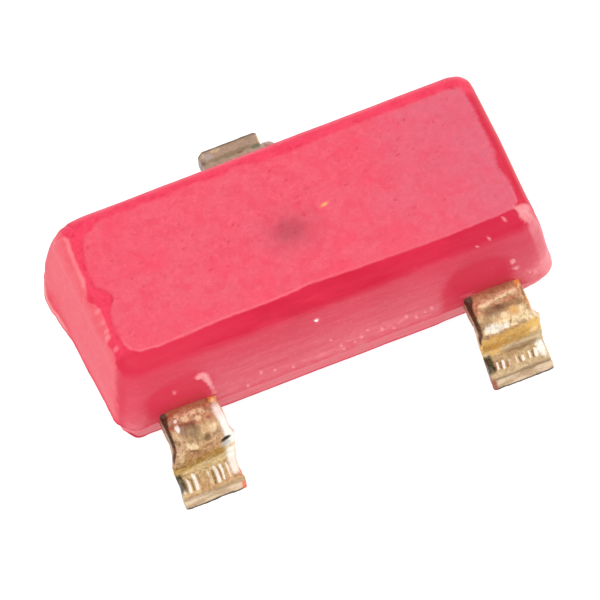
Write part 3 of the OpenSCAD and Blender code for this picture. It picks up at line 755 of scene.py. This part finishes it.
    # the leg is sheared narrower below on the left, and its right-hand edge is drawn out
    moved[:, 0] += smooth(s, 0.12, leg + 0.15) * smooth(s, foot + 0.10, heel + 0.06) * style["tuck"] * smooth(t, 0.055, -0.055) * smooth(-w, 0.12, 0.19)
    moved[:, 0] += smooth(s, leg - 0.05, leg + 0.02) * smooth(s, foot + 0.05, heel + 0.04) * style["drawn"] * smooth(w, 0.10, 0.19) * smooth(t, -0.05, 0.03)
    moved[:, 0] -= smooth(s, -0.16, -0.06) * smooth(s, leg + 0.03, leg - 0.03) * style["pinch"] * smooth(w, 0.08, 0.19)
    moved[:, 0] -= smooth(s, leg - 0.03, leg + 0.03) * smooth(s, heel + 0.05, heel - 0.02) * style["pinch"] * smooth(w, 0.08, 0.19) * smooth(t, 0.03, -0.04)
    # the cut end leans, and its face is a little uneven
    at_tip = smooth(s, foot + 0.03, tip)
    moved[:, 0] += at_tip * (style["skew"] * (t / LT + 0.5) + style["flare"] * w)
    moved[:, 1] += sign * 0.003 * smooth(s, tip - 0.004, tip - 0.001) * nb(np.c_[w, 0 * w, t], 12)
    moved[:, 1] += sign * smooth(s, foot, tip) * (style["reach"] - style["round"] * (smooth(-w, 0.155, 0.195) + 0.4 * smooth(w, 0.165, 0.195)))
    moved[:, 2] = np.maximum(moved[:, 2], 0.0)
    moved[:, 1] = np.clip(moved[:, 1], -REACH - 0.020, REACH + 0.020)

    side = smooth(np.abs(w), LW / 2 - 0.012, LW / 2 - 0.004) * np.sign(w)
    attributes = dict(s=s, w=w, t=t, side=side, fold=fold, rib=zone * wave, shine=shine, up=up, cut=smooth(s, tip - 0.004, tip - 0.001), rim=smooth(s, tip - 0.022, tip - 0.004))
    return moved, quads, attributes


PAINT = dict(white=(1.0, 0.97, 0.88), cream=srgb(248, 222, 176), gold=srgb(226, 172, 88), amber=srgb(238, 150, 66), brown=srgb(122, 84, 44),
             dusk=srgb(118, 88, 66), black=srgb(26, 22, 18), blue=srgb(176, 186, 190), rust=srgb(150, 52, 36), olive=srgb(112, 100, 62), teal=srgb(82, 100, 84))


def lead_material(name, style):
    m = Nodes(name)
    s, w, t = (m.attr(k) for k in ("s", "w", "t"))
    side, up, cut = m.attr("side"), m.attr("up"), m.attr("cut")
    lie = m.vector(w, s, t)
    shift = style["seed"]
    coarse = m.noise(9, 4, 0.62, 0.6, vector=lie, shift=shift)
    medium = m.noise(26, 5, 0.68, 0.7, vector=lie, shift=shift)
    grit = m.noise(46, 4, 0.7, 0.5, vector=lie, shift=(7, 7, 2))
    fine = m.noise(85, 4, 0.7, vector=lie, shift=shift)
    near_w, near_s = m.noise(34, 5, 0.7, vector=lie, shift=(4, 4, 9)), m.noise(34, 5, 0.7, vector=lie, shift=(8, 2, 3))
    W, S = m.add(w, m.mul(m.sub(near_w, 0.5), 0.044)), m.add(s, m.mul(m.sub(near_s, 0.5), 0.044))
    W2, S2 = m.add(w, m.mul(m.sub(near_w, 0.5), 0.014)), m.add(s, m.mul(m.sub(near_s, 0.5), 0.014))
    # tarnished plateau, golden band on the leg, paler foot
    warm = m.mix(m.ramp(medium, 0.36, 0.58), style["brown"], style["tan"])
    warm = m.mix(m.ramp(coarse, 0.50, 0.62, 0.0, 0.55), warm, style["sand"])
    warm = m.mix(m.ramp(grit, 0.54, 0.68, 0.0, 0.75), warm, style["light"])
    warm = m.mix(m.ramp(grit, 0.46, 0.34, 0.0, 0.60), warm, style["dark"])
    pale = m.mix(m.ramp(medium, 0.38, 0.60), style["sand"], style["pale"])
    pale = m.mix(m.ramp(grit, 0.46, 0.34, 0.0, 0.35), pale, style["dark"])
    at, lean, half = style["band"]
    off = m.sub(S, m.add(m.mul(w, lean), at))
    gold = m.mix(m.ramp(grit, 0.40, 0.62), style["umber"], style["gold"])
    gold = m.mix(m.ramp(medium, 0.52, 0.66, 0.0, 0.40), gold, style["light"])
    colour = m.mix(m.ramp(off, -half - 0.020, -half + 0.025), warm, gold)
    colour = m.mix(m.ramp(off, half - 0.030, half + 0.030), colour, pale)
    colour = m.mix(m.ramp(fine, 0.48, 0.66, 0.0, 0.30), colour, style["light"])
    # painted highlights on the folds and rib crests, painted shade between the ribs
    fold_highlight = m.mul(m.ramp(m.attr("fold"), 0.20, 0.85), m.ramp(grit, 0.36, 0.56, 0.10, 1.0))
    colour = m.mix(m.mul(fold_highlight, style["fold_sheen"]), colour, PAINT["cream"])
    colour = m.mix(m.mul(m.ramp(m.attr("rib"), -0.40, -0.85), m.ramp(grit, 0.35, 0.60, 0.35, 0.85)), colour, srgb(108, 84, 46))
    shine = m.mul(m.ramp(m.attr("shine"), 0.13, 0.46), m.ramp(fine, 0.30, 0.50, 0.6, 1.0))
    colour = m.mix(shine, colour, PAINT["white"])
    # the seam with the body, partly flash residue and partly a painted reflection of the red body, and scattered
    # residue
    seam = m.ramp(m.add(s, m.mul(m.sub(medium, 0.5), 0.06)), 0.048, -0.012)
    colour = m.mix(m.mul(seam, m.ramp(grit, 0.36, 0.60, 0.55, 0.90)), colour, style["seam"])
    blots = m.mul(m.ramp(m.noise(17, 5, 0.7, 0.8, vector=lie, shift=(3, 8, 1)), 0.56, 0.68), style["blots"])
    colour = m.mix(blots, colour, style["dark"])
    # painted highlight along the right-hand edge
    edge, first, last, much = style["edge_highlight"]
    edge_highlight = m.mul(m.ramp(W2, edge - 0.014, edge + 0.014), m.ramp(S, first - 0.02, first + 0.02), m.ramp(S, last + 0.02, last - 0.02), m.ramp(medium, 0.30, 0.46, 0.60, 1.0))
    edge_highlight = m.mul(edge_highlight, up, much)
    colour = m.mix(edge_highlight, colour, PAINT["white"])
    painted_highlight = m.most(shine, edge_highlight)
    # single marks: painted highlights (white and cream), coloured and dark spots, and dents under the black ones
    for kind, cw, cs, rw, rs, slant, much in style["marks"]:
        small = max(rw, rs) < 0.034
        mark = m.patch(W2 if small else W, S2 if small else S, cw, cs, rw, rs, slant)
        mark = m.mul(mark, up, much, m.ramp(grit, 0.34, 0.54, 0.55, 1.0)) if kind != "black" else m.mul(mark, up, much)
        colour = m.mix(mark, colour, PAINT[kind])
        if kind in ("white", "cream"):
            painted_highlight = m.most(painted_highlight, mark if kind == "white" else m.mul(mark, 0.6))
    # walls: dark line along the rolled left edge above, partly tarnish and partly painted shade; lighter sheared band
    # below; painted highlight on the right-hand wall
    left_wall, right_wall = m.ramp(side, -0.3, -0.8), m.ramp(side, 0.3, 0.8)
    streak = m.noise(14, 4, 0.6, vector=m.vector(w, m.mul(s, 0.4), m.mul(t, 2.0)), shift=(7, 1, 4))
    roll_at = m.add(m.ramp(s, 0.10, 0.00, 0.0, 0.022), style["roll_at"])
    rolled = m.mul(m.ramp(m.sub(W2, roll_at), 0.008, -0.010), m.ramp(S2, 0.228, 0.205), up, m.ramp(s, -0.06, -0.03))
    ledge = m.mul(left_wall, m.ramp(m.add(t, m.mul(m.sub(streak, 0.5), 0.03)), 0.020, 0.036), m.ramp(S, 0.30, 0.24))
    # dark line along the rolled left edge: partly tarnish, partly painted shade
    colour = m.mix(m.mul(m.most(rolled, ledge), 0.92), colour, m.mix(m.ramp(grit, 0.40, 0.62), srgb(40, 18, 8), srgb(92, 44, 24)))
    low = m.mul(left_wall, m.ramp(t, 0.024, 0.004))
    colour = m.mix(m.mul(low, 0.85), colour, m.mix(m.ramp(streak, 0.40, 0.60), srgb(112, 82, 60), srgb(190, 160, 134)))
    # painted highlight on the right-hand wall
    colour = m.mix(m.mul(right_wall, m.ramp(streak, 0.40, 0.60), 0.7), colour, srgb(236, 202, 142))
    # darker patch at the left of the heel
    heel_dark = m.mul(m.ramp(W2, style["heel_dark_at"] + 0.012, style["heel_dark_at"] - 0.012), m.ramp(S, 0.395, 0.430), m.ramp(S, 0.575, 0.540))
    colour = m.mix(m.mul(heel_dark, 0.92), colour, m.mix(m.ramp(grit, 0.40, 0.62), srgb(24, 22, 12), srgb(86, 80, 50)))
    # sheared end, with a dark line where it meets the sole
    shear = m.noise(16, 4, 0.65, vector=m.vector(m.mul(w, 0.6), s, m.mul(t, 1.6)), shift=(2, 5, 5))
    sheared = m.mix(m.ramp(shear, 0.38, 0.60), style["end_dark"], style["end"])
    sheared = m.mix(m.ramp(grit, 0.46, 0.36, 0.0, 0.35), sheared, style["dark"])
    colour = m.mix(m.mul(cut, 0.9), colour, sheared)
    sole = m.ramp(m.add(t, m.mul(m.sub(grit, 0.5), 0.016)), -0.034, -0.046)
    colour = m.mix(m.mul(cut, sole, 0.90), colour, srgb(46, 34, 20))
    colour = m.mix(m.mul(m.attr("rim"), m.ramp(t, 0.03, 0.05), style["tip_line"]), colour, style["dark"])
    stain = m.mul(m.ramp(m.mul(W2, style["stain_side"]), 0.160, 0.178), m.ramp(S, 0.500, 0.540), m.ramp(t, 0.050, 0.030, style["stain_top"], 1.0))
    colour = m.mix(m.mul(stain, 0.85), colour, style["stain"])
    rough = m.add(m.ramp(medium, 0.3, 0.7, 0.32, 0.50), m.mul(m.sub(fine, 0.5), 0.2))
    relief = m.add(medium, m.mul(fine, 0.6))
    # less metallic under the painted highlights, so they stay pale
    metallic = m.mul(m.ramp(painted_highlight, 0.0, 1.0, 0.70, 0.12), m.ramp(s, 0.03, 0.13, 0.50, 1.0))
    m.principled(Base_Color=colour, Metallic=metallic, Roughness=rough, Normal=m.bump(relief, 0.5, 0.000003))
    return m.mat


# ---------------------------------------------------------------- make the pieces
body_v, body_q, body_a = build_body()
body = make_object("epoxy_body_moulding", body_v, body_q, body_a, body_material())
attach(body, "root")
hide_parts("epoxy_body")

FRONT_METAL = dict(brown=srgb(172, 122, 90), tan=srgb(210, 168, 130), sand=srgb(200, 164, 112), light=srgb(244, 218, 178), dark=srgb(122, 88, 58),
                   pale=srgb(226, 200, 150), end=srgb(222, 197, 166), end_dark=srgb(184, 153, 120), fold_sheen=0.95, tip_line=0.35, rib_pitch=0.043)
# kind, place across, place along, half width, half length, lean, strength
MARKS_BLANK = [("amber", 0.168, -0.004, 0.044, 0.036, 0.0, 0.95), ("cream", 0.160, 0.020, 0.018, 0.018, 0.0, 0.8), ("rust", 0.118, 0.002, 0.014, 0.016, 0.0, 0.7),
               ("white", 0.163, 0.092, 0.042, 0.052, 0.0, 1.0), ("gold", 0.168, 0.292, 0.034, 0.018, 0.0, 0.7), ("blue", 0.138, 0.256, 0.024, 0.018, 0.0, 0.8),
               ("black", 0.139, 0.217, 0.027, 0.017, -0.12, 1.0), ("brown", 0.035, 0.174, 0.020, 0.015, 0.0, 0.85), ("brown", -0.058, 0.218, 0.036, 0.011, 0.30, 0.7),
               ("cream", -0.068, 0.188, 0.036, 0.014, 0.35, 0.95), ("dusk", -0.070, 0.126, 0.070, 0.030, 0.10, 0.70), ("olive", -0.020, 0.160, 0.050, 0.018, 0.20, 0.25), ("cream", 0.0, 0.045, 0.024, 0.018, 0.0, 0.8),
               ("cream", 0.018, 0.096, 0.022, 0.016, 0.0, 0.8), ("cream", -0.058, 0.078, 0.022, 0.018, 0.0, 0.85), ("cream", 0.056, 0.070, 0.018, 0.014, 0.0, 0.7),
               ("cream", -0.103, 0.036, 0.016, 0.014, 0.0, 0.8), ("white", -0.122, 0.068, 0.013, 0.012, 0.0, 0.9), ("white", -0.128, 0.112, 0.014, 0.017, 0.0, 0.95),
               ("cream", -0.140, 0.250, 0.018, 0.044, 0.0, 0.6), ("cream", 0.080, 0.150, 0.026, 0.014, 0.0, 0.5), ("olive", 0.030, 0.400, 0.120, 0.016, -0.20, 0.25)]
MARKS_ANODE = [("amber", 0.168, 0.010, 0.026, 0.050, 0.0, 0.95), ("cream", 0.168, 0.050, 0.014, 0.034, 0.0, 0.9), ("amber", 0.184, 0.130, 0.014, 0.036, 0.0, 0.6), ("brown", 0.176, 0.078, 0.012, 0.036, 0.0, 0.8),
               ("cream", -0.085, 0.072, 0.044, 0.022, -0.13, 0.8), ("cream", 0.025, 0.052, 0.050, 0.020, -0.13, 0.8), ("cream", 0.110, 0.060, 0.030, 0.022, 0.0, 0.6),
               ("brown", 0.060, 0.119, 0.120, 0.011, 0.05, 0.65), ("dusk", -0.055, 0.122, 0.075, 0.020, 0.05, 0.55), ("brown", -0.125, 0.150, 0.030, 0.022, 0.0, 0.45), ("gold", 0.060, 0.143, 0.030, 0.013, 0.15, 0.60),
               ("cream", -0.012, 0.148, 0.022, 0.011, 0.1, 0.7), ("cream", 0.105, 0.150, 0.020, 0.014, 0.0, 0.6),
               ("white", -0.095, 0.180, 0.056, 0.020, 0.10, 0.70), ("white", -0.020, 0.182, 0.024, 0.012, 0.0, 0.7), ("cream", 0.128, 0.172, 0.056, 0.014, 0.10, 0.60),
               ("dusk", 0.090, 0.190, 0.034, 0.009, 0.1, 0.6), ("dusk", -0.155, 0.218, 0.024, 0.018, 0.0, 0.5),
               ("gold", -0.105, 0.325, 0.034, 0.045, 0.0, 0.7), ("cream", 0.145, 0.290, 0.022, 0.024, 0.0, 0.7), ("white", 0.160, 0.500, 0.030, 0.062, 0.0, 1.0),
               ("dusk", 0.050, 0.435, 0.120, 0.036, 0.05, 0.62), ("gold", -0.115, 0.395, 0.050, 0.036, 0.0, 0.65), ("cream", 0.150, 0.385, 0.030, 0.016, 0.0, 0.35)]
MARKS_CATHODE = [("blue", -0.140, 0.560, 0.022, 0.020, 0.0, 0.40), ("cream", -0.172, 0.582, 0.018, 0.018, 0.0, 0.45), ("cream", -0.080, 0.585, 0.030, 0.016, 0.0, 0.35),
                 ("olive", 0.0, 0.528, 0.160, 0.016, 0.0, 0.55), ("brown", 0.050, 0.515, 0.018, 0.008, 0.0, 0.6), ("black", -0.186, 0.538, 0.016, 0.014, 0.0, 0.45),
                 ("teal", 0.162, 0.517, 0.036, 0.013, 0.0, 0.75), ("cream", 0.196, 0.500, 0.020, 0.014, 0.0, 0.5)]
STYLES = {
    "blank": dict(FRONT_METAL, gold=srgb(200, 158, 86), umber=srgb(172, 132, 66), lump=0.0050, ribs=0.0045, worn=0.012, tuck=0.036, drawn=0.027, pinch=0.010, roll=0.020, roll_at=-0.174, bevel=0.0, burr=0.0,
                  shift=0.026, narrow=-0.01, skew=-0.014, flare=0.03, reach=0.013, round=0.004, folds=[(0.050, 0.0, 0.026, 0.004, -0.10, 0.06)],
                  rib_span=(0.455, 0.572), rib_phase=0.12, rib_shine=[(-0.17, 0.5), (-0.14, 1.1), (-0.10, 1.1), (-0.07, 0.2), (-0.02, 0.4), (0.02, 0.6), (0.045, 1.5), (0.12, 1.5), (0.15, 0.3)],
                  edge_highlight=(0.141, 0.06, 0.555, 1.0), band=(0.325, -0.24, 0.050), marks=MARKS_BLANK,
                  blots=0.50, seam=srgb(180, 100, 62), heel_dark_at=-0.160, seed=(0.0, 0.0, 0.0), stain_side=1.0, stain=srgb(226, 96, 60), stain_top=0.0),
    "anode": dict(FRONT_METAL, brown=srgb(182, 134, 92), tan=srgb(218, 176, 130), pale=srgb(212, 186, 144), sand=srgb(186, 154, 114), gold=srgb(236, 190, 104), umber=srgb(213, 167, 90), lump=0.0045, ribs=0.0045, worn=0.010, tuck=0.018, drawn=0.020, pinch=0.030, roll=0.020, roll_at=-0.168, bevel=0.016, burr=0.0,
                  shift=0.008, narrow=0.03, skew=-0.010, flare=0.02, reach=0.005, round=0.002,
                  folds=[(0.060, -0.13, 0.022, 0.005, -0.13, 0.12), (0.178, 0.0, 0.032, 0.007, -0.15, 0.18), (0.119, 0.05, 0.020, -0.005, -0.12, 0.17)],
                  rib_span=(0.488, 0.552), rib_phase=0.30, rib_shine=[(-0.15, 0.3), (-0.12, 1.1), (-0.08, 1.1), (-0.04, 0.5), (0.0, 0.6), (0.04, 1.2), (0.08, 0.6), (0.12, 1.0), (0.15, 0.4)],
                  edge_highlight=(0.186, 0.14, 0.34, 0.6), band=(0.280, -0.10, 0.066), marks=MARKS_ANODE,
                  blots=0.40, seam=srgb(170, 94, 60), heel_dark_at=-0.150, seed=(5.0, 3.0, 1.0), stain_side=-1.0, stain=srgb(146, 48, 30), stain_top=0.0),
    "cathode": dict(lump=0.0022, ribs=0.0, worn=0.003, tuck=0.0, drawn=0.0, pinch=0.0, roll=0.0, roll_at=-0.225, bevel=0.0, burr=0.040, shift=0.0, narrow=0.0, skew=-0.004, flare=0.01, reach=0.010, round=0.022,
                    folds=[], rib_span=(0.49, 0.55), rib_pitch=0.05, rib_phase=0.0, rib_shine=[(-0.2, 0.0), (0.2, 0.0)], edge_highlight=(0.3, 0.0, 0.1, 0.0), band=(0.30, 0.0, 0.06), marks=MARKS_CATHODE,
                    brown=srgb(156, 124, 108), tan=srgb(186, 148, 132), sand=srgb(166, 140, 116), light=srgb(200, 172, 152), dark=srgb(104, 84, 66),
                    umber=srgb(120, 104, 80), gold=srgb(150, 128, 98), pale=srgb(184, 150, 130), end=srgb(130, 110, 92), end_dark=srgb(92, 76, 62), fold_sheen=0.35, tip_line=0.9,
                    blots=0.25, seam=srgb(150, 104, 84), heel_dark_at=-0.250, seed=(9.0, 6.0, 2.0), stain_side=-1.0, stain=srgb(142, 128, 122), stain_top=0.5),
}
PX = PITCH / 2


def front_inside(mirrored):
    a, b = PX - LW / 2, PX + LW / 2
    rows = [(POST_IN, POST_X, b), (POST_IN + 0.08, POST_X, b), (POST_IN + 0.15, POST_X, b), (POST_OUT - 0.004, POST_X, b),
            (POST_OUT, a, b), (POST_OUT + 0.09, a, b), (HY - 0.07, a, b), (HY - 0.025, a, b)]
    return [(u, -right, -left) for u, left, right in rows] if mirrored else rows


def back_inside():
    rows = [(u, -PADDLE_X, PADDLE_X) for u in (-PADDLE_Y, -0.16, 0.0, 0.16, PADDLE_Y - 0.004)]
    return rows + [(u, -LW / 2, LW / 2) for u in (PADDLE_Y, 0.44, 0.56, HY - 0.025)]


LEADS = [
    ("blank_lead_formed", "blank_lead", "blank_plating", 21, -PX, -1, front_inside(True), "blank"),
    ("anode_lead_formed", "anode_lead", "anode_plating", 31, PX, -1, front_inside(False), "anode"),
    ("cathode_lead_formed", "cathode_lead", "cathode_plating", 41, 0.0, 1, back_inside(), "cathode"),
]
for name, node, slot, seed, cx, sign, inner, style in LEADS:
    lead_v, lead_q, lead_a = build_lead(seed, cx, sign, inner, STYLES[style])
    lead = make_object(name, lead_v, lead_q, lead_a, lead_material(slot + "_metal", STYLES[style]))
    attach(lead, "root")
    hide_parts(node)


def inner_material(name, colour, other, metallic, rough, scale):
    m = Nodes(name)
    n = m.noise(scale, 4, 0.6)
    m.principled(Base_Color=m.mix(m.ramp(n, 0.35, 0.65), colour, other), Metallic=metallic,
                 Roughness=m.ramp(n, 0.3, 0.7, rough, rough + 0.2), Normal=m.bump(n, 0.3, 0.000002))
    return m.mat


for node, mat in (
    ("led_die", inner_material("die_crystal", srgb(120, 40, 34), srgb(150, 60, 48), 0.0, 0.18, 30)),
    ("die_attach", inner_material("silver_adhesive", srgb(168, 166, 160), srgb(128, 126, 122), 0.6, 0.45, 60)),
    ("top_contact", inner_material("contact_gold", srgb(226, 180, 92), srgb(206, 156, 70), 1.0, 0.25, 60)),
    ("bond_wire", inner_material("wire_gold", srgb(232, 184, 90), srgb(244, 204, 120), 1.0, 0.15, 40)),
):
    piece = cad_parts[node]
    piece.data.materials.clear()
    piece.data.materials.append(mat)

# ---------------------------------------------------------------- floor, light and camera
R = 0.4
floor_mesh = bpy.data.meshes.new("floor")
floor_mesh.from_pydata([(-R, -R, -1e-6), (R, -R, -1e-6), (R, R, -1e-6), (-R, R, -1e-6)], [], [(0, 1, 2, 3)])
floor = bpy.data.objects.new("floor", floor_mesh)
bpy.context.scene.collection.objects.link(floor)
paper = Nodes("floor_paper")
paper.principled(Base_Color=paper.mix(paper.noise(0.4, 3, 0.5), (0.33, 0.33, 0.33), (0.35, 0.35, 0.35)), Roughness=0.9,
                 Emission_Color=(1.0, 1.0, 1.0, 1.0), Emission_Strength=0.89)
floor_mesh.materials.append(paper.mat)

# a soft dome, dimmer towards the horizon
world = bpy.data.worlds.new("studio")
world.use_nodes = True
wt = world.node_tree
coords = wt.nodes.new("ShaderNodeTexCoord")
split = wt.nodes.new("ShaderNodeSeparateXYZ")
dome = wt.nodes.new("ShaderNodeMapRange")
dome.interpolation_type = "SMOOTHSTEP"
for socket, value in (("From Min", 0.0), ("From Max", 0.85), ("To Min", 0.42), ("To Max", 0.98)):
    dome.inputs[socket].default_value = value
wt.links.new(coords.outputs["Generated"], split.inputs[0])
wt.links.new(split.outputs["Z"], dome.inputs["Value"])
wt.nodes["Background"].inputs["Color"].default_value = (1, 1, 1, 1)
wt.links.new(dome.outputs[0], wt.nodes["Background"].inputs["Strength"])
bpy.context.scene.world = world


def area(name, azimuth, elevation, distance, size, share):
    """A square soft light aimed at the part; share is what it adds to a white surface that faces it."""
    light = bpy.data.lights.new(name, "AREA")
    light.shape = "SQUARE"
    light.size = size
    light.energy = share * math.pi ** 2 * distance ** 2
    obj = bpy.data.objects.new(name, light)
    a, e = math.radians(azimuth), math.radians(elevation)
    out = Vector((math.sin(a) * math.cos(e), -math.cos(a) * math.cos(e), math.sin(e)))
    obj.location = Vector((0, 0, 0.0005)) + out * distance
    obj.rotation_mode = "QUATERNION"
    obj.rotation_quaternion = out.to_track_quat("Z", "Y")
    obj.visible_camera = False
    bpy.context.scene.collection.objects.link(obj)


area("key", -55, 62, 0.30, 0.20, 0.16)
area("right_back", 118, 36, 0.30, 0.17, 0.16)
area("front_fill", 12, 40, 0.30, 0.22, 0.10)

# camera at the photograph's angle: azimuth, elevation, roll, distance in mm, pixels per mm and principal point
AZ, EL, ROLL = (math.radians(a) for a in (-19.855, 58.685, -3.811))
DIST, SCALE, MID_X, MID_Y = 150.0, 164.07, 295.962, 253.230
out = Vector((math.cos(EL) * math.sin(AZ), -math.cos(EL) * math.cos(AZ), math.sin(EL)))
level = (-out).cross(Vector((0, 0, 1))).normalized()
over = level.cross(-out)
right = level * math.cos(ROLL) + over * math.sin(ROLL)
up = over * math.cos(ROLL) - level * math.sin(ROLL)
target = Vector((0, 0, 0.5)) + right * ((300 - MID_X) / SCALE) - up * ((300 - MID_Y) / SCALE)
cam_data = bpy.data.cameras.new("camera")
cam_data.sensor_width = 36.0
cam_data.lens = SCALE * DIST / 600 * 36.0
cam_data.clip_start, cam_data.clip_end = 0.01, 2.0
cam = bpy.data.objects.new("camera", cam_data)
cam.matrix_world = Matrix.Translation((target + out * DIST) * MM) @ Matrix((right, up, out)).transposed().to_4x4()
bpy.context.scene.collection.objects.link(cam)
bpy.context.scene.camera = cam
bpy.context.scene.view_settings.view_transform = "Standard"
bpy.context.scene.view_settings.look = "None"
